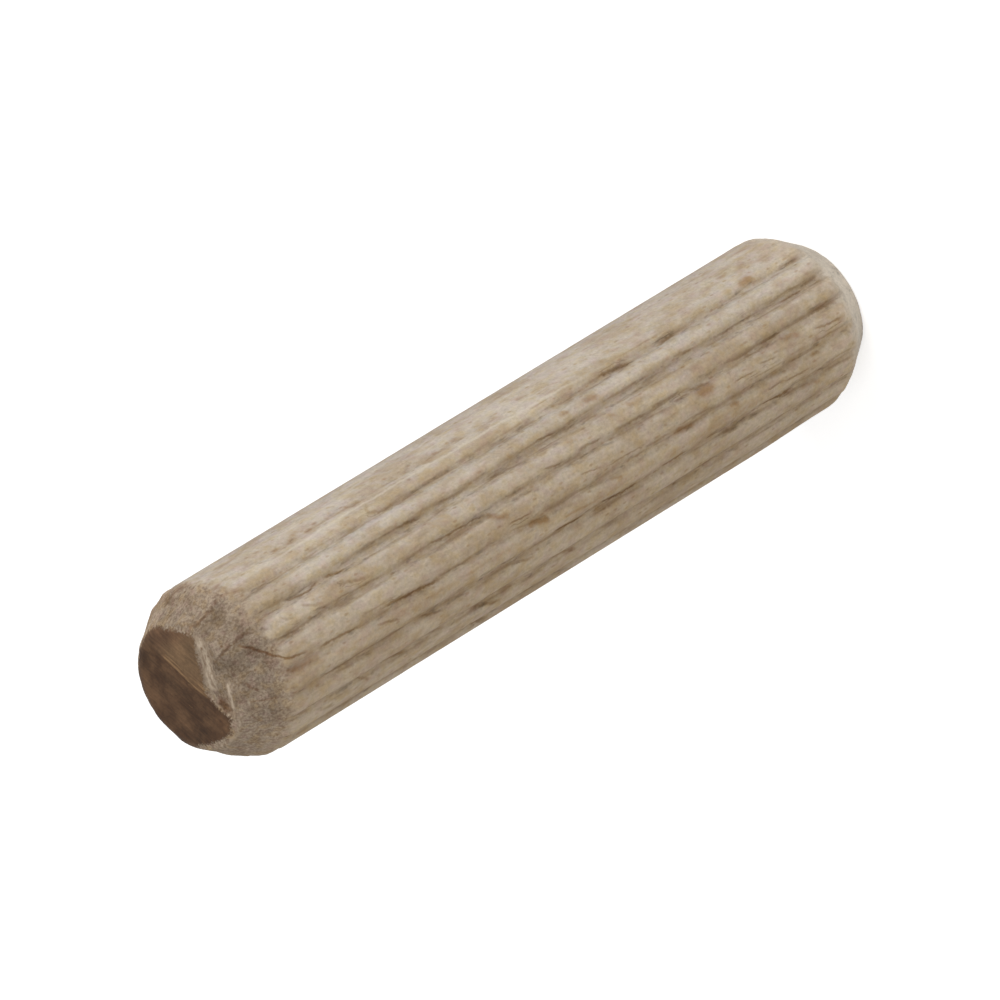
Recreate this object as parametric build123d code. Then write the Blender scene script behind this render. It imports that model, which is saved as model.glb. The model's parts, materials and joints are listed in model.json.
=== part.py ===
from build123d import *
import os
from math import radians, sin, tan

# A wooden dowel pin, standing on its plainer end: the axis is +Z and the origin is the
# centre of the bottom face. Sizes are in millimetres and angles in degrees.

# Rod, measured over the crests of the ridges.
length = 40.0
crest_radius = 4.0

# Flutes, pressed along the whole rod.
flute_count = 20
flute_depth = 0.20
flute_angle = 95.0
flute_root_radius = 0.05
flute_shoulder_radius = 0.18

# Top end: the chamfer's length along the axis, the flat left inside it, and its two rounded edges.
top_chamfer_length = 2.0
top_face_radius = 2.8
top_rim_radius = 0.5
top_shoulder_radius = 1.3

# Bottom end, chamfered a little less and with a crisper rim.
bottom_chamfer_length = 1.8
bottom_face_radius = 2.92
bottom_rim_radius = 0.2
bottom_shoulder_radius = 1.1


def from_axis(corner):
    """Distance of a corner of the section from the pin's axis."""
    return corner.center().length


def fluted_section():
    """Round section with evenly spaced V grooves, rounded at the root and at both shoulders."""
    half_angle = radians(flute_angle / 2)
    # Rounding the root fills the V's tip, so the sharp V is cut that much deeper.
    sharp_depth = flute_depth + flute_root_radius * (1 / sin(half_angle) - 1)
    # The cutter reaches past the crest, so its open side cuts nothing.
    reach = flute_depth
    half_width = (sharp_depth + reach) * tan(half_angle)

    with BuildSketch() as section:
        Circle(crest_radius)
        with PolarLocations(crest_radius, flute_count):
            Polygon(
                (-sharp_depth, 0),
                (reach, -half_width),
                (reach, half_width),
                align=None,
                mode=Mode.SUBTRACT,
            )
        # The innermost corners are the roots, and the outermost are the shoulders.
        fillet(section.vertices().group_by(from_axis)[0], flute_root_radius)
        fillet(section.vertices().group_by(from_axis)[-1], flute_shoulder_radius)
    return section.sketch


def chamfered_blank():
    """Plain rod with a rounded chamfer at each end."""
    with BuildPart() as blank:
        with BuildSketch(Plane.XZ):
            with BuildLine():
                FilletPolyline(
                    (0, 0),
                    (bottom_face_radius, 0),
                    (crest_radius, bottom_chamfer_length),
                    (crest_radius, length - top_chamfer_length),
                    (top_face_radius, length),
                    (0, length),
                    radius=[
                        bottom_rim_radius,
                        bottom_shoulder_radius,
                        top_shoulder_radius,
                        top_rim_radius,
                    ],
                )
                Line((0, length), (0, 0))
            make_face()
        revolve(axis=Axis.Z)
    return blank.part


def dowel_pin():
    """The pin: a fluted rod, cut to the blank's chamfers, so that each flute runs out over them."""
    fluted_rod = extrude(fluted_section(), amount=length)
    return fluted_rod & chamfered_blank()


os.makedirs("parts", exist_ok=True)
export_step(dowel_pin(), "parts/dowel_pin.step")
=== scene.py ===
import json
import math
from types import SimpleNamespace

import bpy
import numpy as np
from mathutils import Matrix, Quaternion, Vector, noise


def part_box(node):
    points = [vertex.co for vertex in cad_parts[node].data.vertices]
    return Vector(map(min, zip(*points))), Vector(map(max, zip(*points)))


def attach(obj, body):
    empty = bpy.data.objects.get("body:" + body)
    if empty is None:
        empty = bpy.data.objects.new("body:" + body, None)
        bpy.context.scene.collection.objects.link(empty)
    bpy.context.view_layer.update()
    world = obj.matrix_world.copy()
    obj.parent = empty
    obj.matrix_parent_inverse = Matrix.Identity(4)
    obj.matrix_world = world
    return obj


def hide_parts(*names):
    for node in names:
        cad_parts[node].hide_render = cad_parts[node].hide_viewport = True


# Looks of a fluted wooden dowel pin that stands on its plainer end. Lengths in this script are in
# millimetres and angles in degrees, and MM turns them into the frame's metres.
#
# Two angles are used round the axis. The frame's own angle starts on +X and grows towards +Y. The side
# angle starts at the pin's upper outline in the picture and grows the other way, over the side that
# faces the camera, to the lower outline at 180.

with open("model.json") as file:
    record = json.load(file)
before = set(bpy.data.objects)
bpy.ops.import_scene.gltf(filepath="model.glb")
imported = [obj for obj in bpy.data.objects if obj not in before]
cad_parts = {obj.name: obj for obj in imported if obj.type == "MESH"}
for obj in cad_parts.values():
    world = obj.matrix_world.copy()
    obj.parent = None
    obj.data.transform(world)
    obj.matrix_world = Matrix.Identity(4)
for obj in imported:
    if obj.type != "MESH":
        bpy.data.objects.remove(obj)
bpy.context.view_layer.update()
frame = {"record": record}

MM = 0.001
PIN = "dowel_pin"
mounts = {mount["name"]: mount for mount in frame["record"]["mounts"]}
box_low, box_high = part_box(PIN)

# The pin's sizes: the first two come from the frame, and the rest repeat those of the solid.
LENGTH = (box_high.z - box_low.z) / MM
CREST_RADIUS = mounts["upper_board_hole"]["dims"]["r_mm"]
FLUTES = 20
PITCH = 360 / FLUTES
TOP_CHAMFER, TOP_FACE_RADIUS, TOP_RIM, TOP_SHOULDER = 2.0, 2.8, 0.5, 1.3
BOTTOM_CHAMFER, BOTTOM_FACE_RADIUS, BOTTOM_RIM, BOTTOM_SHOULDER = 1.8, 2.92, 0.2, 1.1

# How far the shank and the top face stay inside those of the solid.
SHANK_INSET = 0.004
FACE_INSET = 0.006

# The frame's own angle where the side angle is 0.
SIDE_START = 2.8
# Arc length of one degree on the side of the pin.
DEGREE = math.radians(1) * CREST_RADIUS

# Columns of the mesh across one flute and half of each ridge beside it, from the flute's middle.
COLUMN_OFFSETS = (-8.4, -7.2, -6, -4.9, -3.8, -2.8, -1.8, -0.9, 0, 0.9, 1.8, 2.8, 3.8, 4.9, 6, 7.2, 8.4)

# A flute is a V groove with a rounded root, between ridges that are a little crowned.
GROOVE_DEPTH = 0.10
GROOVE_HALF_WIDTH = 0.33
GROOVE_ROOT = 0.15
CROWN = 0.10

# Flutes deeper or shallower than the rest: their number, and a factor at the bottom and at the top.
# The one factor gives way to the other between two heights.
UNEVEN_HEIGHTS = (12, 26)
UNEVEN_FLUTES = {
    0: (0.15, 0.4),
    19: (0.3, 0.35),
    18: (0.15, 0.5),
    17: (0.9, 0.85),
    16: (1.42, 1.47),
    15: (0.92, 0.92),
    14: (0.74, 0.74),
    11: (0.7, 1.0),
    10: (0.5, 1.0),
}
# Flutes that lie a little off their even place, in degrees.
SHIFTED_FLUTES = {16: 0.4, 14: -0.8, 13: 0.3, 12: 0.8}
# Flutes wider than the rest, as a factor.
WIDE_FLUTES = {17: 1.1, 16: 1.35, 14: 1.12}

# Wear and the cutter's marks, as lengths off the even shape. Both chamfers lie off the axis, towards
# +X, and the bottom one is cut deeper on -X.
TOP_OFF_AXIS = 0.09
BOTTOM_OFF_AXIS = 0.10
BOTTOM_DEEPER = 0.11
# The side angles and depths of the top chamfer's two steps, and how far it rises again beyond them.
FIRST_STEP_ANGLE, FIRST_STEP_DEPTH = 45.5, 0.07
SECOND_STEP_ANGLE, SECOND_STEP_DEPTH = 77.3, 0.06
RISE_BEYOND_STEPS = 0.09
# How deep the flat of the top chamfer's rim is behind, and how much fuller the rim is next to it.
RIM_FLAT = 0.06
RIM_FULLER = 0.07
# The torn wood at the top of the flutes, the fibres of the shank and its narrower foot behind.
TORN_DEPTH = 0.12
FIBRE_DEPTH = 0.012
FOOT_TAPER = 0.08
# How much lower and how rough the top face is where it isn't burnished.
BARE_DEPTH = 0.06
BARE_ROUGHNESS = 0.03
# How steeply the top face slopes down past its flat part, as a ratio.
FACE_SLOPE = 0.4
# How far down the specks and scratches of the top face reach, and its burnished patch and streaks.
MARKS_REACH = 0.4
PATCH_REACH = 0.8

# The camera, as fitted to the pin's outline in the photograph. The up of the frame points to the
# lower left of the picture.
CAMERA_AZIMUTH = 2.8
CAMERA_ELEVATION = 40.55
CAMERA_ROLL = 121.48
CAMERA_DISTANCE = 616.2
CAMERA_LENS = 532.2
# Where the pin's middle lies from the picture's centre, measured at the pin.
PICTURE_RIGHT = 0.295
PICTURE_UP = 0.164

# Light: the evenly lit room, a large lamp towards the pin's upper outline in the picture, and a weaker
# one towards the middle of its front.
ROOM_LIGHT = 0.5
KEY_SIDE_ANGLE, KEY_ELEVATION, KEY_POWER = 25.0, 30.0, 2.0
FILL_SIDE_ANGLE, FILL_ELEVATION, FILL_POWER = 95.0, 45.0, 0.9
LAMP_DISTANCE = 600.0
LAMP_SIZE = 500.0
# The floor, and how much whiter than its light makes it the camera sees it.
FLOOR_SIZE = 4000.0
FLOOR_GLOW = 0.55

# Colours of the wood, in sRGB from 0 to 255.
CREAM, TAN = (191, 180, 166), (170, 154, 134)
# The painted highlight along a crest.
CREST_HIGHLIGHT = (212, 202, 184)
# The bottom's cream is paler than the shank's: partly its own tone, partly painted light against the floor's
# shadow.
BOTTOM_CREAM = (213, 203, 188)
END_GRAIN_PALE, END_GRAIN_DARK = (171, 154, 134), (140, 122, 104)
STREAK_PALE, STREAK_DARK = (184, 167, 146), (136, 118, 99)
BROWN_DARK, BROWN_PALE = (68, 47, 31), (96, 71, 50)
UPPER_BROWN, UPPER_BROWN_EDGE = (116, 92, 67), (106, 79, 58)
# Gold of the painted sheen on the burnished patch.
SHEEN_GOLD = (156, 124, 88)

# Tints, by which a colour is multiplied.
# Painted shade: darker and warmer off the side that the key lamp lights, and greyer beside it.
PAINTED_SHADE_OFF_LIT_SIDE, PAINTED_SHADE_BESIDE_LIT_SIDE = (0.97, 0.89, 0.765), (0.88, 0.885, 0.92)
OCHRE_PATCH, LILAC_PATCH = (0.98, 0.95, 0.84), (0.97, 0.93, 0.98)
# The flutes' brown is partly painted shade in their hollows.
FLUTE_BROWN_AND_SHADE, FLUTE_STREAK = (0.89, 0.855, 0.81), (0.74, 0.69, 0.62)
# Painted light and shade on the flutes' walls: grey on the lit wall, ochre on the shaded one.
LIT_WALL_GREY, SHADED_WALL_OCHRE = (0.91, 0.945, 1.0), (1.0, 0.965, 0.88)
FLECK_TINT, DARK_LINE_TINT = (0.66, 0.52, 0.37), (0.56, 0.46, 0.34)
END_GRAIN_PATCH = (0.77, 0.72, 0.66)
END_GRAIN_OCHRE, END_GRAIN_LILAC = (1.0, 0.95, 0.84), (0.96, 0.90, 0.93)
END_GRAIN_FLECK, END_GRAIN_DARK_LINE = (0.5, 0.36, 0.26), (0.60, 0.44, 0.34)
STREAK_FLECK = (0.45, 0.33, 0.24)
DARK_SCRATCH = (0.5, 0.45, 0.42)

# The directions of the side that the key lamp lights and of the grey one beside it, in the frame's own
# angle.
LIT_SIDE_ANGLE = -22.2
BESIDE_ANGLE = 27.8
# The directions of the pale fibres and of the fine scratches on the top face, from +X.
FIBRE_ANGLE = -25
SCRATCH_ANGLE = 29
# Depth of the wood's finest relief.
RELIEF_DEPTH = 0.06

# Marks on the side: the side angle and height of the points of a line, its half width and its strength.
# Most of these lines are dark marks; those along the top chamfer's steps are painted shadow, and one is a
# painted highlight.
LINE_MARKS = (
    # Beside the flute at 57 degrees.
    ((57, 38), (57.5, 33), 0.05, 0.4),
    ((57.3, 32.5), (57.5, 26.5), 0.05, 0.4),
    ((56.5, 20.6), (57.5, 19.2), 0.08, 0.5),
    ((49.8, 19.1), (50.2, 17.8), 0.04, 0.4),
    ((53.5, 15.2), (57.3, 13.0), 0.09, 0.8),
    ((57.3, 11.6), (55.8, 10.1), 0.09, 0.7),
    ((50.2, 14), (51, 10), 0.05, 0.3),
    ((56, 8), (57, 6), 0.06, 0.4),
    ((55.2, 3.4), (55, 1.9), 0.07, 0.4),
    # Beside the flute at 75 degrees.
    ((75, 38.2), (74.5, 36.4), 0.06, 0.5),
    ((72.5, 36.4), (76, 35.0), (73.3, 34.0), 0.07, 0.8),
    ((72.8, 33.9), (76.3, 32.6), 0.07, 0.9),
    ((70.2, 29.4), (73.2, 27.6), 0.06, 0.7),
    ((71.5, 27), (72.5, 24.5), 0.06, 0.5),
    ((74.5, 23.6), (76.8, 21), 0.07, 0.6),
    ((70.2, 20.6), (72, 19), 0.05, 0.6),
    ((71, 14.4), (71.5, 12.9), 0.05, 0.4),
    ((70.2, 11.3), (71.2, 10.2), 0.06, 0.5),
    ((72.5, 9), (73.5, 5.6), 0.05, 0.5),
    ((74.8, 4.7), (76.2, 3.0), 0.07, 0.9),
    ((73, 3), (73, 1.9), 0.1, 0.5),
    # Beside the flute at 93 degrees.
    ((92.3, 38), (91.5, 34.5), 0.07, 0.5),
    ((90, 34.5), (91.5, 31), 0.04, 0.5),
    ((89.5, 28.6), (91.6, 26.6), (92.5, 24.5), 0.05, 0.8),
    ((95, 23.3), (94.5, 21.8), 0.06, 0.4),
    ((88, 21.1), (90, 19.7), 0.05, 0.7),
    ((88.8, 18.8), (89.4, 17.2), 0.06, 0.7),
    ((90, 16.5), (91, 14.2), 0.06, 0.6),
    ((89.8, 14.2), (90.2, 12), 0.07, 0.6),
    ((94.5, 12.7), (94.3, 11.8), 0.05, 0.7),
    ((93.2, 11.7), (95, 10.6), 0.08, 0.8),
    ((91, 7.2), (92, 5.5), 0.06, 0.6),
    ((94.3, 8.3), (94.5, 7.1), 0.04, 0.5),
    ((90.5, 3.8), (93.2, 1.9), 0.11, 0.6),
    # Beside the flute at 111 degrees.
    ((108.8, 36.2), (110.8, 33.4), 0.07, 0.9),
    ((108.3, 32.2), (109.5, 31), (112.3, 28.3), 0.08, 1.0),
    ((110.3, 28.6), (111.5, 26.4), 0.06, 0.5),
    ((105, 33.4), (107, 30.9), 0.05, 0.4),
    ((105.6, 24.1), (106.6, 22.5), 0.045, 0.8),
    ((109.5, 24), (112, 22.9), 0.05, 0.5),
    ((106, 18), (107.5, 15), 0.04, 0.5),
    ((109, 15.5), (109.5, 13.6), 0.06, 0.5),
    ((108, 13.4), (109.5, 11), 0.05, 0.4),
    ((102.2, 19.4), (104.6, 18), 0.04, 0.6),
    ((102.8, 9.4), (104.2, 7.9), 0.045, 0.7),
    ((101.5, 7.7), (103.3, 6.5), 0.045, 0.6),
    ((101, 4.1), (104, 2.1), 0.055, 0.8),
    ((107.8, 8.5), (108.5, 6), 0.04, 0.4),
    ((108.5, 4.5), (108.8, 1.9), 0.06, 0.5),
    # Beside the flute at 129 degrees.
    ((115.8, 32.8), (120.8, 31.2), 0.055, 0.6),
    ((126.5, 36.4), (128.8, 34.2), 0.07, 0.6),
    ((127.5, 30.2), (132, 28.6), 0.06, 0.6),
    ((125.8, 25.2), (126.5, 23.8), 0.05, 0.5),
    ((125.5, 21.6), (127.2, 19.5), 0.07, 1.0),
    ((125.3, 18.7), (127.9, 17.1), (128, 15.9), 0.08, 1.0),
    ((126.2, 14.7), (126.8, 12.8), 0.07, 0.8),
    ((127, 11.7), (127.4, 10.7), 0.06, 0.6),
    ((125.8, 8.3), (128.8, 6.6), (128.3, 5.7), 0.08, 1.0),
    ((118.4, 7.7), (119, 6.5), 0.05, 0.7),
    ((120.3, 6.6), (120.8, 4.8), 0.05, 0.7),
    ((130, 10.6), (131.5, 9.7), 0.12, 0.5),
    ((131, 24.3), (133, 22.9), 0.06, 0.6),
    ((124.5, 4), (124.8, 1.9), 0.06, 0.5),
    # Beside the flute at 147 degrees.
    ((144, 38), (147.5, 36.8), 0.1, 0.5),
    ((149.5, 36.5), (155.5, 35.2), 0.08, 0.4),
    ((143, 34.2), (152, 33), 0.07, 0.5),
    ((142, 32.7), (147.5, 30.7), 0.08, 0.8),
    ((142.8, 29.9), (147.2, 28.3), 0.08, 0.5),
    ((146, 26.8), (152.5, 24.7), 0.09, 0.7),
    ((142.7, 22), (149.8, 19.8), 0.09, 0.7),
    ((143, 18.2), (144, 16.9), 0.08, 0.4),
    ((143.2, 14.2), (144.8, 10.7), 0.1, 0.9),
    ((143, 7.3), (143.6, 6.3), 0.09, 0.5),
    ((160, 26.7), (171, 24.9), 0.14, 0.8),
    # Where the top chamfer's facets meet: a brown fold, then painted shadow along the two steps.
    ((18, 38.1), (11, 38.5), (5, 39.0), 0.14, 0.5),
    ((38, 39.99), (41, 39.9), (44.5, 39.57), (46.5, 39.07), (48, 38.63), 0.12, 0.6),
    ((48, 38.63), (47, 38.3), (51, 37.8), (54, 37.2), 0.10, 0.5),
    ((47.5, 38.75), (47.5, 38.4), 0.12, 0.6),
    ((82, 39.99), (80, 39.95), (77.7, 39.7), (76.7, 39.2), (77, 38.7), (77, 38.3), 0.12, 0.6),
    # Growth rings that come to the surface as small arcs.
    ((79.5, 35.55), (81.5, 35.85), (83.5, 35.6), (86, 35.1), (87.6, 34.7), 0.08, 0.5),
    ((80, 37.1), (82, 37.15), (84.5, 36.85), (86.5, 36.4), 0.07, 0.4),
    ((80, 33.2), (82.5, 33.45), (84.5, 33.1), (86.5, 32.6), (88.2, 32), 0.08, 0.55),
    ((47.5, 29.2), (50, 29.5), (52.5, 29.55), (55, 29.1), (57, 28.4), 0.08, 0.45),
    # Over the top chamfer, the first one on into a flute.
    (
        (76.5, 39.3), (86, 38.9), (92.5, 38.57), (98.5, 38.3), (104, 37.9), (105.5, 37.3), (107, 36.5),
        0.06, 1.0,
    ),
    ((107, 39.55), (114.5, 39.3), (119.5, 39.05), 0.07, 0.6),
    ((126.5, 39.5), (126.5, 39.0), (127, 38.4), 0.07, 0.6),
    ((137, 39.55), (142.5, 39.3), (147, 38.95), 0.07, 0.5),
    # A painted highlight along the crest above the flute at 57 degrees, given by a negative strength.
    ((47.5, 38), (45.5, 33), (45, 28), (46, 24), (47, 20), (49, 16), (50, 13), 0.08, -0.35),
)

# Brown flecks on the side, in the same form.
FLECKS = (
    ((39.5, 33.5), (34, 32.7), 0.09, 0.5),
    ((65, 18.2), (65, 17.9), 0.14, 0.65),
    ((65, 16.65), (65.3, 16.25), 0.18, 0.75),
    ((82, 18.9), (82.5, 18.6), 0.15, 0.4),
    ((82, 16.3), (82, 16), 0.15, 0.5),
    ((82, 15), (82, 14.8), 0.15, 0.45),
    ((94.5, 24.7), (97, 24.5), (100, 24), 0.14, 0.75),
    ((112.8, 22.8), (115.5, 21.8), 0.12, 0.85),
    ((115, 17.8), (117, 17), 0.08, 0.55),
    ((120, 20.8), (122, 18), 0.07, 0.5),
    ((97.5, 11.3), (97.5, 10.6), 0.2, 0.85),
    ((96.6, 5.75), (97.2, 4.95), 0.16, 0.6),
    ((51.5, 5.3), (51.5, 4.9), 0.22, 0.85),
    ((111.3, 13.3), (113, 12.3), 0.13, 0.75),
    ((115, 9.85), (115.5, 9.45), 0.1, 0.65),
    ((115, 4.6), (115, 4.2), 0.1, 0.5),
    ((132, 5.4), (133, 4.4), 0.14, 0.5),
    ((113, 37.7), (114, 36.3), 0.18, 0.5),
    ((80.5, 2), (83, 1.9), 0.12, 0.5),
    ((38, 24.3), (38, 24.1), 0.12, 0.45),
    ((36.5, 23), (38, 22.7), 0.14, 0.5),
    # Faint tan streaks along the ridges.
    ((52, 23), (52.5, 20.6), 0.2, 0.2),
    ((52.5, 36), (53.5, 30), (53, 24), 0.22, 0.22),
    ((53, 18), (53.5, 12), (54, 7), 0.22, 0.25),
    ((69.5, 34), (70, 26), 0.2, 0.25),
    ((83, 35), (82, 28), (83, 21), 0.22, 0.2),
    ((83, 14), (84, 8), 0.22, 0.2),
    ((118, 35), (119, 29), (118.5, 24), 0.22, 0.3),
    ((69.5, 22), (70, 14), (70.5, 8), 0.2, 0.25),
    ((121, 19), (121, 15), 0.22, 0.36),
    ((121, 14), (122, 8.5), 0.22, 0.32),
    # Small pores and flecks on the worn side.
    ((31.2, 34.95), (31.2, 34.8), 0.09, 0.55),
    ((38.2, 34.35), (38.6, 34.1), 0.09, 0.5),
    ((37.8, 33.35), (37.8, 33.05), 0.12, 0.5),
    ((39, 32.3), (39, 32.1), 0.09, 0.6),
    ((37.8, 31.15), (37.8, 31.0), 0.09, 0.6),
    ((35.8, 30.8), (35.8, 30.6), 0.09, 0.5),
    ((38.2, 29.95), (38.2, 29.8), 0.09, 0.6),
    ((40.8, 29.45), (40.8, 29.3), 0.09, 0.6),
    ((35.5, 27.3), (35.5, 27.1), 0.09, 0.5),
    ((39, 26.3), (39, 26.1), 0.09, 0.5),
    ((36.2, 18.8), (36.2, 18.5), 0.11, 0.45),
    ((37.2, 17.9), (37.2, 17.6), 0.10, 0.4),
    ((34.5, 15.7), (34.5, 15.4), 0.10, 0.4),
    ((36.5, 14.7), (36.5, 14.4), 0.12, 0.45),
    ((46.5, 14.25), (46.5, 14.0), 0.10, 0.4),
    ((36.5, 5.7), (36.5, 5.3), 0.12, 0.45),
    ((37.5, 4.4), (37.5, 4.1), 0.10, 0.4),
    ((65.5, 4.2), (65.5, 3.7), 0.15, 0.4),
)

# The burnished patch of the top face: the corners of its outline, as places on the face.
BURNISHED = (
    (2.92, 0.61), (2.95, 0.15), (2.88, -0.20), (2.72, -0.45), (2.56, -0.82), (2.43, -1.10),
    (2.20, -1.42), (1.97, -1.74), (1.74, -1.90), (1.42, -1.60), (1.09, -1.45), (0.79, -1.32),
    (0.43, -1.16), (0.08, -0.99), (-0.44, -0.80), (-0.83, -0.91), (-1.28, -1.06), (-1.56, -1.26),
    (-1.80, -1.36), (-2.04, -1.21), (-2.29, -0.91), (-2.41, -0.47), (-2.39, 0.19), (-2.32, 0.75),
    (-2.20, 1.19), (-2.25, 1.75), (-1.80, 2.30), (-0.70, 2.82), (0.50, 2.88), (1.60, 2.45),
    (2.45, 1.60),
)

# Golden streaks of painted sheen and dark scratches of the burnished patch: the points of a line, as places
# on the face, its half width and its strength.
SHEEN_STREAKS = (
    ((2.30, 1.02), (1.82, 0.55), (1.62, 0.36), 0.11, 0.5),
    ((1.62, 0.32), (1.27, 0.13), (0.93, -0.10), 0.20, 0.95),
    ((1.75, 0.22), (1.40, 0.02), 0.10, 0.7),
    ((0.75, 0.01), (0.26, -0.25), (-0.49, -0.76), 0.20, 0.85),
    ((0.45, -0.41), (-0.01, -0.73), (-0.47, -0.87), 0.13, 0.75),
    ((2.11, 0.20), (1.22, -0.37), (0.67, -0.61), 0.10, 0.5),
    ((1.20, -0.15), (0.50, -0.45), 0.10, 0.55),
    ((-0.53, 0.47), (-0.66, 0.39), 0.06, 0.8),
)
DARK = (
    ((2.37, 1.33), (1.82, 0.73), (1.09, 0.29), (0.40, -0.01), 0.09, 0.9),
    ((1.11, 0.72), (0.59, 0.37), (-0.23, -0.17), 0.08, 0.8),
)

# Pale fibrous streaks on the top face beside the burnished patch, in the same form.
PALE = (
    ((1.52, -1.95), (1.15, -1.92), (0.64, -1.77), (0.12, -1.50), (-0.20, -1.36), 0.30, 0.85),
    ((-0.42, -2.21), (-0.86, -2.05), (-1.37, -1.83), (-1.75, -1.58), 0.10, 0.85),
    ((-2.0, -1.75), (-2.5, -1.1), (-2.7, -0.4), (-2.65, 0.8), 0.16, 0.5),
)

# Darker and lighter places of the burnished patch: where, how wide, and by how much.
TONES = (
    (2.60, 0.45, 0.30, -0.18),
    (2.30, -0.30, 0.35, -0.12),
    (1.95, -0.75, 0.35, 0.12),
    (1.50, -0.60, 0.35, 0.15),
    (1.65, -1.45, 0.30, -0.10),
    (1.10, -1.20, 0.25, -0.06),
    (0.60, -0.17, 0.30, 0.10),
    (2.05, 1.43, 0.40, -0.13),
    (0.85, 2.25, 0.50, 0.05),
    (0.00, 2.35, 0.40, 0.10),
    (0.50, 0.75, 0.45, -0.13),
    (-0.10, 0.35, 0.30, -0.12),
    (-0.70, 1.20, 0.50, 0.03),
    (-0.85, -0.45, 0.25, -0.02),
    (-1.30, -0.05, 0.28, -0.06),
    (-1.75, 0.60, 0.28, -0.17),
    (-2.00, 1.05, 0.25, -0.16),
    (-1.55, -0.85, 0.28, 0.17),
    (-1.95, -0.80, 0.28, 0.17),
    (-2.15, -0.30, 0.25, 0.06),
)

# The flat part of the top face. Past its outline the face slopes down to the chamfer.
FLAT = (
    (2.90, 0.61), (2.95, 0.15), (2.88, -0.20), (2.80, -0.80), (2.60, -1.30), (2.30, -1.75),
    (1.93, -2.10), (1.61, -2.36), (1.20, -2.52), (0.74, -2.51), (0.28, -2.15), (-0.09, -2.01),
    (-0.50, -1.95), (-0.88, -2.12), (-1.40, -1.93), (-1.90, -1.68), (-2.42, -1.30), (-2.80, -0.70),
    (-2.80, 0.80), (-2.25, 1.75), (-1.80, 2.30), (-0.70, 2.82), (0.50, 2.88), (1.60, 2.45),
    (2.45, 1.60),
)

# Brown specks on the top face and beside it, in the same form.
SPECKS = (
    ((1.29, -1.94), (1.27, -1.92), 0.05, 1.0),
    ((1.02, -2.78), (1.0, -2.76), 0.05, 1.0),
    ((2.15, -2.95), (2.13, -2.96), 0.05, 0.7),
    ((-1.08, -1.36), (-1.34, -1.50), 0.20, 0.9),
)


# Shape


def rounded_profile(corners, radii, steps):
    """Points along a polyline with rounded corners. steps gives the spacing on each straight run and
    on the arc that ends it."""
    corners = [np.array(c, float) for c in corners]
    points = [corners[0]]
    start = corners[0]
    for i in range(1, len(corners)):
        along = corners[i] - corners[i - 1]
        along /= np.linalg.norm(along)
        if i == len(corners) - 1:
            run_end = corners[i]
        else:
            onward = corners[i + 1] - corners[i]
            onward /= np.linalg.norm(onward)
            turn = math.acos(np.clip(along @ onward, -1, 1))
            cut = radii[i - 1] * math.tan(turn / 2)
            run_end = corners[i] - along * cut
        run = np.linalg.norm(run_end - start)
        count = max(1, round(run / steps[i - 1]))
        points += [start + (run_end - start) * k / count for k in range(1, count + 1)]
        if i < len(corners) - 1:
            inward = (onward - along) / np.linalg.norm(onward - along)
            centre = corners[i] + inward * radii[i - 1] / math.cos(turn / 2)
            arc_steps = max(2, round(radii[i - 1] * turn / steps[i - 1]))
            first = run_end - centre
            last = corners[i] + onward * cut - centre
            for k in range(1, arc_steps + 1):
                part = k / arc_steps
                spoke = math.sin((1 - part) * turn) * first + math.sin(part * turn) * last
                points.append(centre + spoke / math.sin(turn))
            start = corners[i] + onward * cut
    return np.array(points)


def ring_profile():
    """Radius and height of each ring, from the middle of the bottom face to the middle of the top."""
    corners = [
        (0, 0),
        (BOTTOM_FACE_RADIUS, 0),
        (CREST_RADIUS, BOTTOM_CHAMFER),
        (CREST_RADIUS, LENGTH - TOP_CHAMFER),
        (TOP_FACE_RADIUS, LENGTH),
        (0, LENGTH),
    ]
    radii = [BOTTOM_RIM, BOTTOM_SHOULDER, TOP_SHOULDER, TOP_RIM]
    spacings = [0.24, 0.085, 0.205, 0.06, 0.1]
    return rounded_profile(corners, radii, spacings)[1:-1]


def smooth_step(value, low, high):
    """0 below low, 1 above high, and a smooth rise between."""
    t = np.clip((value - low) / (high - low), 0, 1)
    return t * t * (3 - 2 * t)


def soft_above(value, softness):
    """value where it is positive and 0 elsewhere, with a rounded corner."""
    return softness * np.logaddexp(0, value / softness)


def soft_lesser(a, b, softness):
    """The lesser of two lengths, with a rounded corner where they meet."""
    return a - soft_above(a - b, softness)


def smooth_noise(x, y, z):
    """Noise between about -1 and 1 at arrays of places, one unit to a feature."""
    x, y, z = np.broadcast_arrays(x, y, z)
    values = [noise.noise((a, b, c)) for a, b, c in zip(x.ravel(), y.ravel(), z.ravel())]
    return np.array(values).reshape(x.shape)


def layered_noise(x, y, z, layers):
    """Noise with finer layers, each half as strong as the one before."""
    total = np.zeros(np.broadcast(x, y, z).shape)
    for k in range(layers):
        total = total + smooth_noise(x * 2 ** k, y * 2 ** k, z * 2 ** k) / 2 ** k
    return total


def side_of(angle):
    """Side angle, from -90 to 270, of a direction round the axis."""
    return (SIDE_START - angle + 90) % 360 - 90


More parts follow.
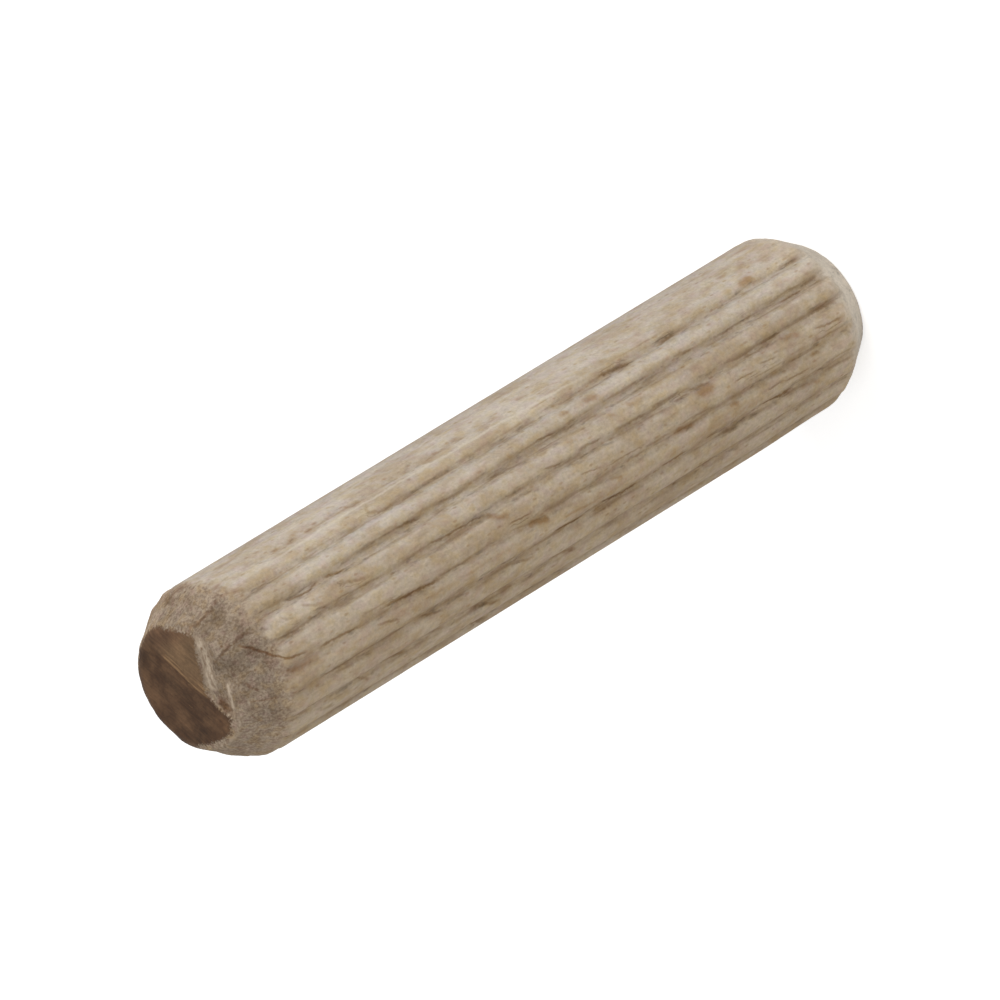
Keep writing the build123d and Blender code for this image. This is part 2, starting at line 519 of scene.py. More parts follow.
def flute_depths(flute, offset, z):
    """Depth of the surface below the crest circle, at an offset from a flute's middle, in degrees."""
    strength = 1 + 0.2 * smooth_noise(flute * 7.1, 3.3, z / 3.5)
    for number, (at_bottom, at_top) in UNEVEN_FLUTES.items():
        factor = at_bottom + (at_top - at_bottom) * smooth_step(z, *UNEVEN_HEIGHTS)
        strength = np.where(flute == number, strength * factor, strength)
    width = 1 + 0.25 * smooth_noise(flute * 5.3, 9.1, z / 2.2)
    for number, factor in WIDE_FLUTES.items():
        width = np.where(flute == number, width * factor, width)
    across = np.hypot(offset * DEGREE, GROOVE_ROOT) - GROOVE_ROOT
    half_way = np.hypot(GROOVE_HALF_WIDTH * width, GROOVE_ROOT) - GROOVE_ROOT
    vee = GROOVE_DEPTH * (1 - across / half_way)
    crown = CROWN * (1 - np.abs(offset) / (PITCH / 2)) ** 2
    return strength * (soft_above(vee, 0.015) + crown)


def flute_wander(flute, offset, z):
    """How far a flute's columns stray from their even places, in degrees."""
    stray = 0.6 * smooth_noise(flute * 3.7, 1.9, z / 9) + 0.5 * smooth_noise(flute * 8.3, 5.7, z / 2.4)
    for number, shift in SHIFTED_FLUTES.items():
        stray = np.where(flute == number, stray + shift, stray)
    return stray * (1 - (offset / (PITCH / 2)) ** 2)


def flute_wall_light(offset, side):
    """Painted light and shade on a flute's walls: 1 on the lit wall, towards the lower outline, painted
    grey, and -1 on the shaded one opposite, painted ochre. Both are missing on the lit side, and fade out
    behind."""
    grey = np.exp(-((offset + 2.4) / 2.4) ** 2) * (1 - 0.4 * smooth_step(side, 115, 135))
    ochre = np.exp(-((offset - 5) / 3) ** 2) * (1 - 0.75 * smooth_step(side, 95, 106))
    return smooth_step(side, 42, 50) * (1 - smooth_step(side, 190, 250)) * (grey - ochre)


def chamfer_radius(ring_radius, unit_x, side, on_top, on_bottom):
    """Radius of each ring at each column, with both chamfers off the axis."""
    off_top = TOP_OFF_AXIS * on_top * np.clip(ring_radius / TOP_FACE_RADIUS, 0, 1)
    off_bottom = BOTTOM_OFF_AXIS * on_bottom * np.clip(ring_radius / BOTTOM_FACE_RADIUS, 0, 1)
    behind = smooth_step(side, 125, 165) * (1 - smooth_step(side, 200, 240))
    deeper = BOTTOM_DEEPER * on_bottom * behind * np.clip(ring_radius / BOTTOM_FACE_RADIUS, 0, 1)
    return ring_radius + (off_top + off_bottom) * unit_x - deeper


def chamfer_steps(side, ring_radius):
    """1 past each of the two steps that the cutter left on the top chamfer, and 0 before it."""
    from_first = side - FIRST_STEP_ANGLE - 5 * (ring_radius - 3.2)
    from_second = side - SECOND_STEP_ANGLE + 2.5 * (ring_radius - 3.1)
    return smooth_step(from_first, -0.7, 0.7), smooth_step(from_second, -0.7, 0.7)


def facet_depths(side, ring_radius, first_step, second_step):
    """How far the facets of the top chamfer lie below an even one."""
    depth = FIRST_STEP_DEPTH * first_step + SECOND_STEP_DEPTH * second_step
    depth = depth - RISE_BEYOND_STEPS * smooth_step(side, 95, 175)

    # The steps fade out behind, where the side angle jumps. Next to that the chamfer has a flat on
    # one side of the jump and is a little fuller on the other.
    depth = (1 - smooth_step(side, 190, 260)) * depth
    flat = 0.3 * smooth_step(side, 165, 195) * smooth_step(side, 255, 225)
    flat = np.maximum(flat, smooth_step(side, 230, 248) * smooth_step(side, 269, 257))
    flat = flat * smooth_step(ring_radius, 3.35, 2.95)
    fuller = smooth_step(side, 25, -10) * smooth_step(side, -80, -45)
    fuller = fuller * smooth_step(ring_radius, 3.75, 3.05) * smooth_step(ring_radius, 2.55, 2.8)
    return depth + RIM_FLAT * flat - RIM_FULLER * fuller


def facet_shades(side, z, first_step, second_step):
    """Brightness of the top chamfer's facets, partly painted light and shade, which grows towards the shank.
    """
    # Painted highlight on the rim by the upper outline, and painted shade on the facets past each step.
    shade = 0.81 + 0.26 * smooth_step(side, 8, -3) - 0.10 * first_step + 0.06 * smooth_step(side, 57, 66)
    shade = shade - 0.13 * second_step + 0.08 * smooth_step(side, 87, 94)
    shade = shade + 0.16 * smooth_step(side, 102, 132) + 0.18 * smooth_step(side, 130, 165)
    return shade + 0.2 * smooth_step(z, LENGTH - 1.2, LENGTH - 2.0)


def shank_radius(unit_x, unit_y, z, side, depth):
    """Radius of the fluted shank. The wood is torn where the flutes run out at the top."""
    torn_zone = smooth_step(z, LENGTH - 2.7, LENGTH - 2.0) * (1 - smooth_step(z, LENGTH - 1.7, LENGTH - 1.3))
    torn = soft_above(layered_noise(unit_x * 5, unit_y * 5, z * 1.6, 3) - 0.15, 0.05)
    taper = FOOT_TAPER * smooth_step(z, 7.5, 3)
    taper = taper * smooth_step(side, 130, 170) * (1 - smooth_step(side, 200, 240))
    radius = CREST_RADIUS - SHANK_INSET - taper - depth - TORN_DEPTH * torn * torn_zone
    fibres = FIBRE_DEPTH * layered_noise(unit_x * 12, unit_y * 12, z * 1.1, 2)
    return radius + np.minimum(fibres, 0.0)


def face_drop(x, y, z, ring_radius, on_top):
    """How far the top face lies below that of the solid. It lies lower where it isn't burnished, and
    slopes down to the chamfer past its flat part."""
    bare = smooth_step(-inside_outline(x, y, BURNISHED), -0.05, 0.12)
    roughness = BARE_ROUGHNESS * layered_noise(x * 4, y * 4, 2.2, 3)
    on_face = smooth_step(z, LENGTH - 0.14, LENGTH - 0.01)
    slope = FACE_SLOPE * soft_above(-inside_outline(x, y, FLAT), 0.05)
    slope = slope * smooth_step(ring_radius, 3.6, 2.9) * on_top
    return on_face * (FACE_INSET + bare * (BARE_DEPTH + roughness)) + slope


def pin_surface():
    """Grid of points of the pin's surface, rings from the bottom face to the top one by columns round the
    pin: x, y and height, and with them the depth of the flutes, the brightness of the top chamfer, partly
    painted light and shade, and the painted light and shade of the flutes' walls."""
    profile = ring_profile()
    ring_radius, z = profile[:, :1], profile[:, 1:]
    flute = np.repeat(np.arange(FLUTES), len(COLUMN_OFFSETS))[None, :]
    offset = np.tile(COLUMN_OFFSETS, FLUTES)[None, :]
    angle = flute * PITCH + offset + flute_wander(flute, offset, z)
    unit_x, unit_y = np.cos(np.radians(angle)), np.sin(np.radians(angle))
    side = side_of(angle)

    on_top = smooth_step(z, LENGTH - TOP_CHAMFER - 0.5, LENGTH - TOP_CHAMFER + 0.1)
    on_bottom = 1 - smooth_step(z, BOTTOM_CHAMFER - 0.2, BOTTOM_CHAMFER + 0.8)
    radius = chamfer_radius(ring_radius, unit_x, side, on_top, on_bottom)

    # Rough end grain on both chamfers: lumps and pits, and at the top the steps and facets.
    ring_x, ring_y = unit_x * ring_radius, unit_y * ring_radius
    lumps = 0.05 * smooth_noise(ring_x * 1.3, ring_y * 1.3, z * 1.3)
    pits = 0.05 * layered_noise(ring_x * 4.5, ring_y * 4.5, z * 3.0, 3)
    ragged = layered_noise(unit_x * 14, unit_y * 14, z * 3, 2)
    first_step, second_step = chamfer_steps(side + ragged, ring_radius)
    facets = facet_depths(side, ring_radius, first_step, second_step)
    top_cone = on_top * smooth_step(ring_radius, TOP_FACE_RADIUS - 0.3, TOP_FACE_RADIUS)
    bottom_cone = on_bottom * smooth_step(ring_radius, BOTTOM_FACE_RADIUS - 0.3, BOTTOM_FACE_RADIUS)
    radius = radius + top_cone * (lumps + 0.5 * np.minimum(pits, 0.012) - facets)
    radius = radius + bottom_cone * (0.4 * lumps + 0.4 * np.minimum(pits, 0.01))

    # The flutes run out over the chamfers.
    depth = flute_depths(flute, offset, z)
    radius = soft_lesser(radius, shank_radius(unit_x, unit_y, z, side, depth), 0.02)

    x, y = radius * unit_x, radius * unit_y
    height = z - face_drop(x, y, z, ring_radius, on_top)
    shade = facet_shades(side, z, first_step, second_step)
    return x, y, height, depth, shade, flute_wall_light(offset, side)


def to_line(u, v, points):
    """How far places are from a line of two or more points, how far they are to its left with the line
    run straight on at both ends, and how far along it they lie, 0 to 1."""
    points = np.array(points, float)
    lengths = np.hypot(*np.diff(points, axis=0).T)
    nearest = np.full(u.shape, np.inf)
    aside = np.zeros(u.shape)
    along = np.zeros(u.shape)
    passed = 0.0
    for i, (start, end, length) in enumerate(zip(points, points[1:], lengths)):
        du, dv = (end - start) / length
        run = (u - start[0]) * du + (v - start[1]) * dv
        across = (v - start[1]) * du - (u - start[0]) * dv
        on_run = np.clip(run, 0, length)
        gap = np.hypot(across, run - on_run)
        past_end = (run < 0) & (i == 0) | (run > length) & (i == len(lengths) - 1)
        closer = gap < nearest
        nearest = np.where(closer, gap, nearest)
        aside = np.where(closer, np.where(past_end, across, np.copysign(gap, across)), aside)
        along = np.where(closer, passed + on_run, along)
        passed += length
    return nearest, aside, along / passed


def inside_outline(x, y, corners):
    """Distance of places from a closed outline, positive inside and negative outside."""
    distance = to_line(x, y, list(corners) + [corners[0]])[0]
    inside = np.zeros(x.shape, bool)
    for (x0, y0), (x1, y1) in zip(corners, corners[1:] + corners[:1]):
        crosses = (y0 > y) != (y1 > y)
        rise = y1 - y0 if y1 != y0 else 1.0
        inside ^= crosses & (x < x0 + (y - y0) * (x1 - x0) / rise)
    return np.where(inside, distance, -distance)


def line_values(u, v, marks, scale):
    """For thin lines: how far to one side the nearest one is, in half widths, and that line's strength,
    which fades at its ends and away from it."""
    nearest = np.full(u.shape, np.inf)
    offset = np.zeros(u.shape)
    strength = np.zeros(u.shape)
    for *points, half_width, force in marks:
        gap, aside, along = to_line(u, v, [(a * scale, b) for a, b in points])
        taper = smooth_step(along, 0, 0.2) * smooth_step(along, 1, 0.8) * smooth_step(gap, 0.3, 0.16)
        closer = gap < nearest
        nearest = np.where(closer, gap, nearest)
        offset = np.where(closer, aside / half_width, offset)
        strength = np.where(closer, force * taper, strength)
    return offset, strength


def spot_values(u, v, marks, scale):
    """For spots: their strength inside them, which falls to 0 at twice their half width."""
    value = np.zeros(u.shape)
    for *points, half_width, force in marks:
        gap = to_line(u, v, [(a * scale, b) for a, b in points])[0]
        value = np.maximum(value, force * np.clip(1 - gap / (2 * half_width), 0, 1))
    return value


def blob_values(u, v, blobs):
    """Sum of soft round blobs."""
    value = np.zeros(u.shape)
    for at_u, at_v, width, amount in blobs:
        value += amount * np.exp(-((u - at_u) ** 2 + (v - at_v) ** 2) / width ** 2)
    return value


def make_pin():
    """The pin as one closed mesh, with the places of its marks as values of its points."""
    x, y, z, depth, shade, wall_light = pin_surface()
    rings, columns = x.shape
    grid = np.stack([x, y, z], axis=-1).reshape(-1, 3)
    ends = np.array([[0, 0, 0], [0, 0, LENGTH - FACE_INSET]])
    points = np.concatenate([grid, ends]) * MM

    first = np.arange(rings * columns).reshape(rings, columns)
    after = np.roll(first, -1, axis=1)
    quads = np.stack([first[:-1], after[:-1], after[1:], first[1:]], axis=-1).reshape(-1, 4)
    bottom = [(rings * columns, b, a) for a, b in zip(first[0], after[0])]
    top = [(rings * columns + 1, a, b) for a, b in zip(first[-1], after[-1])]

    mesh = bpy.data.meshes.new("fluted_pin")
    mesh.from_pydata(points.tolist(), [], quads.tolist() + bottom + top)
    mesh.validate()
    mesh.shade_smooth()

    side = side_of(np.degrees(np.arctan2(y, x))) * DEGREE
    wobble = 0.06 * smooth_noise(side * 1.5, 4.4, z * 1.1) + 0.04 * smooth_noise(side * 3, 8.8, z * 3)
    line_mark, line_mark_strength = line_values(side + wobble, z, LINE_MARKS, DEGREE)
    fleck = spot_values(side + wobble, z + wobble, FLECKS, DEGREE)
    on_face, near_face = z > LENGTH - MARKS_REACH, z > LENGTH - PATCH_REACH
    fleck = np.maximum(fleck, np.where(on_face, spot_values(x, y, SPECKS, 1.0), 0))
    sheen_and_scratch = spot_values(x, y, SHEEN_STREAKS, 1.0) - spot_values(x, y, DARK, 1.0)
    burnished = inside_outline(x, y, BURNISHED)

    # Each value on the grid, and at the middles of the bottom and the top face.
    values = {
        "hollow": (depth, (0, 0)),
        "facet_shade": (shade, (1, 1)),
        "wall_light": (wall_light, (0, 0)),
        "line_mark": (line_mark, (4, 4)),
        "line_mark_strength": (line_mark_strength, (0, 0)),
        "fleck": (fleck, (0, 0)),
        "sheen_and_scratch": (np.where(on_face, sheen_and_scratch, 0), (0, 0)),
        "burnished": (np.where(near_face, burnished, -1), (-1, 1)),
        "pale": (np.where(near_face, spot_values(x, y, PALE, 1.0), 0), (0, 0)),
        "tone": (np.where(near_face, blob_values(x, y, TONES), 0), (0, 0)),
    }
    for name, (on_grid, at_ends) in values.items():
        attribute = mesh.attributes.new(name, "FLOAT", "POINT")
        attribute.data.foreach_set("value", np.concatenate([on_grid.ravel(), at_ends]).astype(np.float32))

    pin = bpy.data.objects.new("fluted_pin", mesh)
    bpy.context.scene.collection.objects.link(pin)
    return pin


# Materials


def linear(red, green, blue):
    """Linear colour of an sRGB one given in the range 0 to 255."""
    parts = [c / 255 for c in (red, green, blue)]
    return tuple(c / 12.92 if c <= 0.04045 else ((c + 0.055) / 1.055) ** 2.4 for c in parts) + (1.0,)


class Graph:
    """Short names for the shader nodes that the materials are made of."""

    def __init__(self, material):
        material.use_nodes = True
        self.tree = material.node_tree
        self.tree.nodes.clear()

    def node(self, kind, inputs=(), **settings):
        made = self.tree.nodes.new(kind)
        for name, value in settings.items():
            setattr(made, name, value)
        for key, value in dict(inputs).items():
            self.connect(value, made.inputs[key])
        return made

    def connect(self, value, socket):
        if isinstance(value, bpy.types.NodeSocket):
            self.tree.links.new(value, socket)
        else:
            socket.default_value = value

    def math(self, operation, *values):
        return self.node("ShaderNodeMath", enumerate(values), operation=operation).outputs[0]

    def add(self, a, b):
        return self.math("ADD", a, b)

    def times(self, a, b):
        return self.math("MULTIPLY", a, b)

    def plus_times(self, a, b, c):
        """a * b + c"""
        return self.math("MULTIPLY_ADD", a, b, c)

    def swing(self, noise, amount, base):
        """base, made more or less by a noise that swings about 0.5."""
        return self.plus_times(self.add(noise, -0.5), amount, base)

    def above_zero(self, value):
        return self.math("MAXIMUM", value, 0.0)

    def rise(self, value, low, high, to_low=0.0, to_high=1.0):
        """Smooth rise from to_low to to_high as the value goes from low to high."""
        inputs = {"Value": value, "From Min": low, "From Max": high, "To Min": to_low, "To Max": to_high}
        return self.node("ShaderNodeMapRange", inputs, interpolation_type="SMOOTHSTEP").outputs[0]

    def mix(self, factor, a, b, blend="MIX"):
        made = self.node("ShaderNodeMix", {0: factor}, data_type="RGBA", blend_type=blend)
        colours = [s for s in made.inputs if s.type == "RGBA"]
        self.connect(a, colours[0])
        self.connect(b, colours[1])
        return next(s for s in made.outputs if s.type == "RGBA")

    def shade(self, colour, factor):
        """Colour made lighter or darker by a factor."""
        return self.node("ShaderNodeVectorMath", {0: colour, 3: factor}, operation="SCALE").outputs[0]

    def vector(self, x, y, z):
        return self.node("ShaderNodeCombineXYZ", enumerate((x, y, z))).outputs[0]

    def scaled(self, vector, x, y, z):
        inputs = {0: vector, 1: (x, y, z)}
        return self.node("ShaderNodeVectorMath", inputs, operation="MULTIPLY").outputs[0]

    def moved(self, vector, x, y, z):
        inputs = {0: vector, 1: (x, y, z)}
        return self.node("ShaderNodeVectorMath", inputs, operation="ADD").outputs[0]

    def noise(self, vector, scale=1.0, detail=2.0, roughness=0.5, distortion=0.0):
        inputs = {"Vector": vector, "Scale": scale, "Detail": detail, "Roughness": roughness,
                  "Distortion": distortion}
        return self.node("ShaderNodeTexNoise", inputs).outputs[0]

    def cells(self, vector):
        """Distance to the nearest of a scatter of points, and a random number for that point."""
        made = self.node("ShaderNodeTexVoronoi", {"Vector": vector, "Scale": 1.0, "Randomness": 1.0})
        split = self.node("ShaderNodeSeparateColor", {0: made.outputs["Color"]})
        return made.outputs["Distance"], split.outputs[0]

    def value(self, name):
        """A value of the mesh's points."""
        return self.node("ShaderNodeAttribute", attribute_name=name).outputs["Fac"]

    def line(self, name, raggedness):
        """Strength of the thin lines whose places are among the values of the mesh's points."""
        gap = self.math("ABSOLUTE", self.add(self.value(name), raggedness))
        return self.times(self.rise(gap, 1.5, 0.1), self.value(name + "_strength"))

    def tint(self, factor, colour, tint):
        """Colour multiplied by a tint, as far as the factor says."""
        return self.mix(factor, colour, (*tint, 1), blend="MULTIPLY")

    def facing(self, x, y, angle):
        """Cosine of the angle round the axis between a place and a direction."""
        return self.math("COSINE", self.add(self.math("ARCTAN2", y, x), math.radians(-angle)))

    def turned(self, x, y, angle):
        """How far a place lies along a direction and across it."""
        cosine, sine = math.cos(math.radians(angle)), math.sin(math.radians(angle))
        along = self.plus_times(x, cosine, self.times(y, sine))
        return along, self.plus_times(x, -sine, self.times(y, cosine))


def wood_inputs(g):
    """Places on the pin, and noise of several sizes, most of it drawn out along the grain."""
    place = g.scaled(g.node("ShaderNodeTexCoord").outputs["Object"], 1 / MM, 1 / MM, 1 / MM)
    axes = g.node("ShaderNodeSeparateXYZ", {0: place}).outputs
    return SimpleNamespace(
        place=place,
        x=axes[0],
        y=axes[1],
        z=axes[2],
        lit_side=g.facing(axes[0], axes[1], LIT_SIDE_ANGLE),
        hollow=g.value("hollow"),
        cloud=g.noise(g.scaled(place, 0.8, 0.8, 0.3), detail=2),
        mottle=g.noise(g.scaled(place, 2.2, 2.2, 1.3), detail=2),
        hue=g.noise(g.moved(g.scaled(place, 2.6, 2.6, 1.7), 31, 7, 3), detail=3),
        grain=g.noise(g.scaled(place, 6.0, 6.0, 4.6), detail=3, roughness=0.6),
        speckle=g.noise(place, scale=9.0, detail=2, roughness=0.6),
        dashes=g.noise(g.scaled(place, 6.0, 6.0, 1.6), detail=2, distortion=0.3),
        fibres=g.noise(g.scaled(place, 9.0, 9.0, 1.3), detail=2),
        streaks=g.noise(g.moved(g.scaled(place, 4.5, 4.5, 0.4), 3, 5, 8), detail=3, distortion=0.3),
        ragged=g.noise(place, scale=2.5, detail=3),
        pores=g.noise(g.scaled(place, 9.5, 9.5, 7.0), detail=2, roughness=0.6),
        patches=g.noise(g.moved(place, 3, 9, 4), scale=1.3, detail=3),
    )


def wood_light(g, wood):
    """Lightness of the wood, with dark dashes along the grain, most of them in the flutes."""
    light = g.swing(wood.grain, 0.36, 1.0)
    light = g.swing(wood.speckle, 0.34, light)
    light = g.swing(wood.fibres, 0.24, light)
    light = g.swing(wood.mottle, 0.40, light)
    light = g.times(light, g.rise(wood.z, 5.0, 2.2, 1.0, 1.09))
    dash = g.times(g.rise(wood.dashes, 0.54, 0.74), g.rise(wood.hollow, 0.0, 0.15, 0.08, 0.3))
    return g.times(light, g.math("SUBTRACT", 1.0, dash))


def bare_wood(g, wood, light):
    """Cream and tan wood with lilac-grey and ochre patches, and painted shade off the lit side and beside
    it.
    """
    cloudy = g.plus_times(wood.cloud, 0.5, g.times(wood.mottle, 0.5))
    colour = g.mix(g.rise(cloudy, 0.38, 0.62), linear(*CREAM), linear(*TAN))
    # Painted shade: darker and warmer away from the side that the key lamp lights, and greyer beside it.
    colour = g.tint(g.rise(wood.lit_side, 0.97, -0.1), colour, PAINTED_SHADE_OFF_LIT_SIDE)
    beside = g.facing(wood.x, wood.y, BESIDE_ANGLE)
    colour = g.tint(g.rise(beside, 0.60, 0.90), colour, PAINTED_SHADE_BESIDE_LIT_SIDE)
    colour = g.tint(g.rise(wood.hue, 0.48, 0.68, 0.0, 0.9), colour, OCHRE_PATCH)
    colour = g.tint(g.rise(wood.hue, 0.5, 0.34, 0.0, 0.9), colour, LILAC_PATCH)
    colour = g.shade(colour, light)

    # The flutes are a little brown, partly their own colour and partly painted shade in the hollows.
    low = g.rise(g.swing(wood.mottle, 0.08, wood.hollow), 0.03, 0.16)
    colour = g.tint(g.times(low, 0.9), colour, FLUTE_BROWN_AND_SHADE)
    colour = g.tint(g.times(g.rise(wood.streaks, 0.44, 0.66), low), colour, FLUTE_STREAK)
    # Painted light and shade on the flutes' walls: grey on the lit wall, ochre on the shaded one.
    wall_light = g.value("wall_light")
    colour = g.tint(g.above_zero(wall_light), colour, LIT_WALL_GREY)
    return g.tint(g.above_zero(g.times(wall_light, -1.0)), colour, SHADED_WALL_OCHRE)


def fleck_strength(g, wood):
    """Brown flecks, those of the photograph and others like them, and small pores."""
    distance, pick = g.cells(g.moved(g.scaled(wood.place, 1.3, 1.3, 0.6), 5, 2, 9))
    scattered = g.times(g.rise(distance, 0.4, 0.1), g.rise(pick, 0.78, 0.86, 0.0, 0.4))
    placed = g.rise(g.swing(wood.grain, 0.8, g.value("fleck")), 0.08, 0.75, 0.0, 0.9)
    flecks = g.math("MAXIMUM", placed, scattered)
    distance, pick = g.cells(g.scaled(wood.place, 4.2, 4.2, 1.8))
    small = g.times(g.rise(distance, 0.34, 0.1), g.rise(pick, 0.62, 0.74, 0.0, 0.5))
    return g.math("MAXIMUM", flecks, small)


def end_grain(g, wood, fleck, line_mark):
    """Speckled end grain, as on the top chamfer."""
    colour = g.mix(g.rise(wood.pores, 0.35, 0.66), linear(*END_GRAIN_PALE), linear(*END_GRAIN_DARK))
    colour = g.tint(g.rise(wood.patches, 0.38, 0.7), colour, END_GRAIN_PATCH)
    colour = g.tint(g.rise(wood.hue, 0.50, 0.64), colour, END_GRAIN_OCHRE)
    colour = g.tint(g.rise(wood.hue, 0.46, 0.34), colour, END_GRAIN_LILAC)
    # The facets' brightness, partly painted light and shade.
    colour = g.shade(colour, g.swing(wood.mottle, 0.5, g.value("facet_shade")))
    colour = g.shade(colour, g.swing(wood.speckle, 0.35, 1.0))
    colour = g.tint(fleck, colour, END_GRAIN_FLECK)
    # Dark lines, among them painted shadow along the steps.
    return g.tint(line_mark, colour, END_GRAIN_DARK_LINE)


def bottom_wood(g, wood, light):
    """Pale end grain of the bottom chamfer and face, darker behind and, as painted shade, on the lit side.
    """
    # Painted shade on the side that the key lamp lights.
    shade = g.times(light, g.rise(wood.lit_side, 0.5, 0.8, 1.0, 0.84))
    # The cream is paler than the shank's, partly as painted light against the floor's shadow.
    colour = g.shade(linear(*BOTTOM_CREAM)[:3], shade)
    return g.shade(colour, g.rise(wood.lit_side, -0.3, 0.15, 0.88, 1.0))


def pale_streaks(g, wood, fleck):
    """Pale fibrous streaks beside the burnished patch: where they are, and their colour."""
    along, across = g.turned(wood.x, wood.y, FIBRE_ANGLE)
    fibre = g.noise(g.vector(g.times(along, 2.2), g.times(across, 5.5), 0.0), detail=3, roughness=0.6)
    colour = g.mix(g.rise(fibre, 0.35, 0.66), linear(*STREAK_PALE), linear(*STREAK_DARK))
    return g.rise(g.swing(fibre, 1.2, g.value("pale")), 0.25, 0.6), g.tint(fleck, colour, STREAK_FLECK)


def burnished_wood(g, wood):
    """The burnished part of the top face: where it is, and its brown, with fine scratches along one
    direction and golden streaks of painted sheen along them."""
    along, across = g.turned(wood.x, wood.y, SCRATCH_ANGLE)
    fine = g.noise(g.vector(g.times(along, 0.6), g.times(across, 9.0), 0.0), detail=3, roughness=0.65)
    blotch = g.noise(g.moved(g.scaled(wood.place, 1.1, 1.1, 1.0), 2, 6, 1), detail=3)
    upper = g.rise(g.swing(blotch, 1.0, across), -0.3, -0.8)
    brown = g.mix(g.rise(blotch, 0.35, 0.68), linear(*BROWN_DARK), linear(*BROWN_PALE))
    brighter = g.mix(g.rise(wood.x, 1.6, 2.5), linear(*UPPER_BROWN), linear(*UPPER_BROWN_EDGE))
    brown = g.mix(g.times(upper, 0.8), brown, brighter)
    brown = g.shade(brown, g.swing(fine, 1.15, g.plus_times(g.value("tone"), 2.0, 1.0)))
    brown = g.shade(brown, g.swing(wood.grain, 0.85, 1.0))
    streak, sheen_and_scratch = g.times(g.add(fine, -0.5), 2.0), g.value("sheen_and_scratch")
    # Painted sheen: golden streaks along the scratches.
    sheen = g.rise(g.add(streak, sheen_and_scratch), 0.45, 1.1, 0.0, 0.65)
    brown = g.mix(sheen, brown, linear(*SHEEN_GOLD))
    dark = g.rise(g.math("SUBTRACT", streak, sheen_and_scratch), 0.45, 1.05, 0.0, 0.75)
    where = g.rise(g.swing(wood.pores, 0.35, g.value("burnished")), -0.09, 0.09)
    return where, g.tint(dark, brown, DARK_SCRATCH)


def wood_relief(g, wood, line_mark, at_top, burnished):
    """Fine relief of the wood, rougher on the top chamfer and nearly none where it is burnished."""
    relief = g.plus_times(wood.grain, 0.6, g.times(wood.dashes, 0.35))
    relief = g.plus_times(wood.mottle, 0.5, relief)
    relief = g.plus_times(line_mark, -0.35, relief)
    rough_end = g.plus_times(wood.pores, 0.45, g.times(wood.ragged, 0.35))
    rough_end = g.plus_times(line_mark, -0.25, rough_end)
    relief = g.plus_times(at_top, g.math("SUBTRACT", rough_end, relief), relief)
    return g.times(relief, g.rise(burnished, 0.0, 1.0, 1.0, 0.08))


def beech_material():
    material = bpy.data.materials.new("beech")
    g = Graph(material)
    wood = wood_inputs(g)
    light = wood_light(g, wood)
    fleck = fleck_strength(g, wood)
    line = g.line("line_mark", g.swing(wood.grain, 2.5, 0.0))
    line_mark = g.above_zero(line)

    colour = g.tint(fleck, bare_wood(g, wood, light), FLECK_TINT)
    # Dark lines: cracks, growth rings and the like, and painted shadow along the top chamfer's steps.
    colour = g.tint(line_mark, colour, DARK_LINE_TINT)
    # Painted highlight along a crest, where a line's strength is negative.
    colour = g.mix(g.above_zero(g.times(line, -1.0)), colour, linear(*CREST_HIGHLIGHT))

    at_top = g.rise(g.plus_times(wood.ragged, 1.2, wood.z), LENGTH - 1.8, LENGTH - 1.0)
    colour = g.mix(at_top, colour, end_grain(g, wood, fleck, line_mark))
    at_bottom = g.rise(g.plus_times(wood.ragged, 0.9, wood.z), 2.8, 1.5)
    colour = g.mix(g.times(at_bottom, 0.9), colour, bottom_wood(g, wood, light))
    pale, streaks = pale_streaks(g, wood, fleck)
    colour = g.mix(pale, colour, streaks)
    burnished, brown = burnished_wood(g, wood)
    colour = g.mix(burnished, colour, brown)

    relief = wood_relief(g, wood, line_mark, at_top, burnished)
    bump = g.node("ShaderNodeBump", {"Height": relief, "Strength": 1.0, "Distance": RELIEF_DEPTH * MM})
    roughness = g.rise(burnished, 0.0, 1.0, 0.85, 0.55)
    shader = g.node("ShaderNodeBsdfPrincipled", {
        "Base Color": colour, "Roughness": roughness, "Specular IOR Level": 0.15, "Normal": bump.outputs[0]})
    g.node("ShaderNodeOutputMaterial", {"Surface": shader.outputs[0]})
    return material


# Floor, light and camera


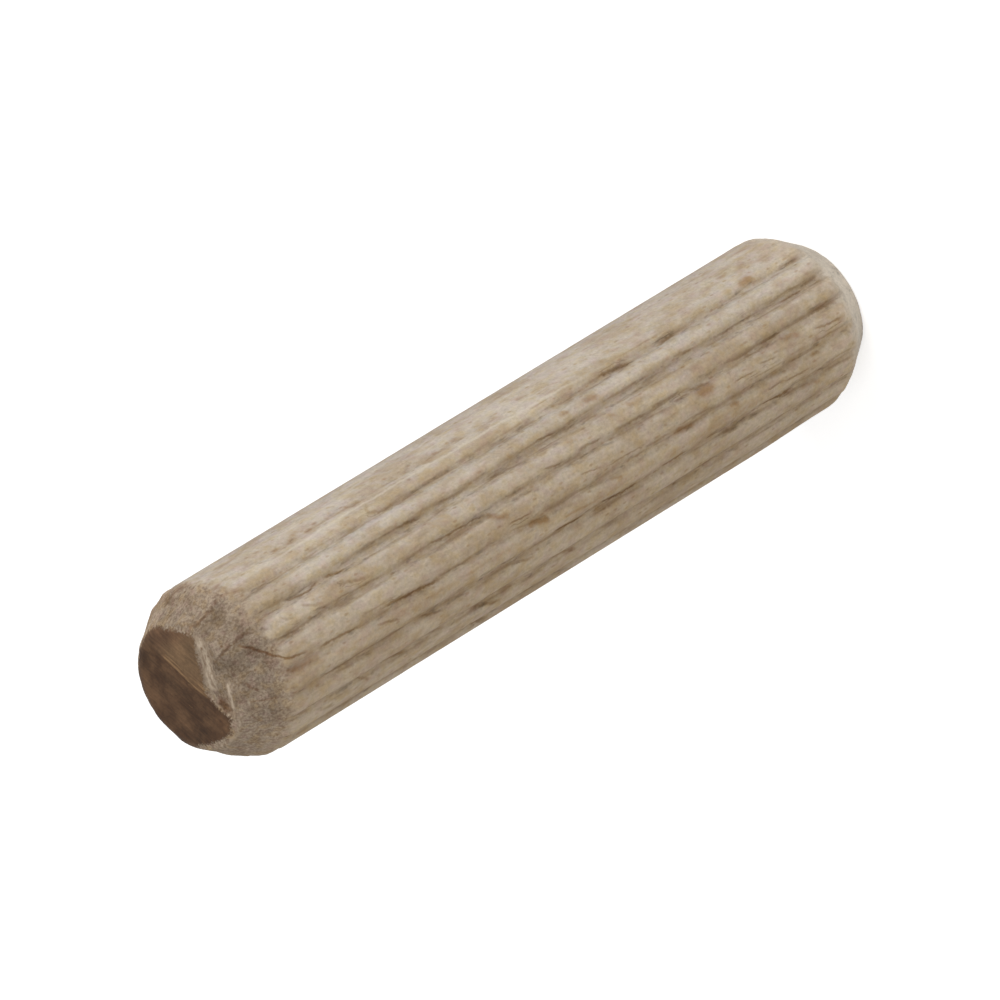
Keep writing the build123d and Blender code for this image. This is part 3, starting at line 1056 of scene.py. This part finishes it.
def white_room():
    """A pale floor and a white world. The camera sees both as white, and the floor keeps its shadow."""
    bpy.ops.mesh.primitive_plane_add(size=FLOOR_SIZE * MM)
    floor = bpy.context.object
    floor.name = "floor"
    material = bpy.data.materials.new("floor")
    g = Graph(material)
    seen = g.node("ShaderNodeLightPath").outputs["Is Camera Ray"]
    diffuse = g.node("ShaderNodeBsdfDiffuse", {"Color": (0.8, 0.8, 0.8, 1)})
    glow = g.node("ShaderNodeEmission", {"Color": (1, 1, 1, 1), "Strength": g.times(seen, FLOOR_GLOW)})
    both = g.node("ShaderNodeAddShader", {0: diffuse.outputs[0], 1: glow.outputs[0]})
    g.node("ShaderNodeOutputMaterial", {"Surface": both.outputs[0]})
    floor.data.materials.append(material)

    world = bpy.data.worlds.new("room")
    bpy.context.scene.world = world
    g = Graph(world)
    path = g.node("ShaderNodeLightPath")
    seen = path.outputs["Is Camera Ray"]
    for ray in ("Is Glossy Ray", "Is Transmission Ray"):
        seen = g.math("MAXIMUM", seen, path.outputs[ray])
    strength = g.plus_times(seen, 1 - ROOM_LIGHT, ROOM_LIGHT)
    background = g.node("ShaderNodeBackground", {"Color": (1, 1, 1, 1), "Strength": strength})
    g.node("ShaderNodeOutputWorld", {"Surface": background.outputs[0]})


def soft_lamp(name, side, elevation, power):
    """Large round lamp that lights one side of the pin."""
    lamp = bpy.data.lights.new(name, "AREA")
    lamp.shape = "DISK"
    lamp.size = LAMP_SIZE * MM
    lamp.energy = power
    holder = bpy.data.objects.new(name, lamp)
    bpy.context.scene.collection.objects.link(holder)
    around = math.radians(SIDE_START - side)
    up = math.radians(elevation)
    towards = Vector((math.cos(around) * math.cos(up), math.sin(around) * math.cos(up), math.sin(up)))
    middle = Vector((0, 0, LENGTH / 2))
    holder.location = (middle + towards * LAMP_DISTANCE) * MM
    holder.rotation_mode = "QUATERNION"
    holder.rotation_quaternion = (-towards).to_track_quat("-Z", "Y")


def make_camera():
    """The photograph's camera."""
    around = math.radians(CAMERA_AZIMUTH)
    up = math.radians(CAMERA_ELEVATION)
    back = Vector((math.sin(around) * math.cos(up), -math.cos(around) * math.cos(up), math.sin(up)))
    level = (-back).to_track_quat("-Z", "Y")
    turned = level @ Quaternion((0, 0, 1), math.radians(-CAMERA_ROLL))
    right = turned @ Vector((1, 0, 0))
    top = turned @ Vector((0, 1, 0))
    middle = Vector((0, 0, LENGTH / 2))
    camera = bpy.data.objects.new("camera", bpy.data.cameras.new("camera"))
    bpy.context.scene.collection.objects.link(camera)
    camera.location = (middle + back * CAMERA_DISTANCE - right * PICTURE_RIGHT - top * PICTURE_UP) * MM
    camera.rotation_mode = "QUATERNION"
    camera.rotation_quaternion = turned
    camera.data.lens = CAMERA_LENS
    camera.data.sensor_width = 36.0
    camera.data.clip_start = 0.01
    camera.data.clip_end = 10.0
    bpy.context.scene.camera = camera


pin = make_pin()
pin.data.materials.append(beech_material())
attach(pin, "root")
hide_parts(PIN)

white_room()
soft_lamp("key", KEY_SIDE_ANGLE, KEY_ELEVATION, KEY_POWER)
soft_lamp("fill", FILL_SIDE_ANGLE, FILL_ELEVATION, FILL_POWER)
make_camera()
bpy.context.scene.view_settings.view_transform = "Standard"
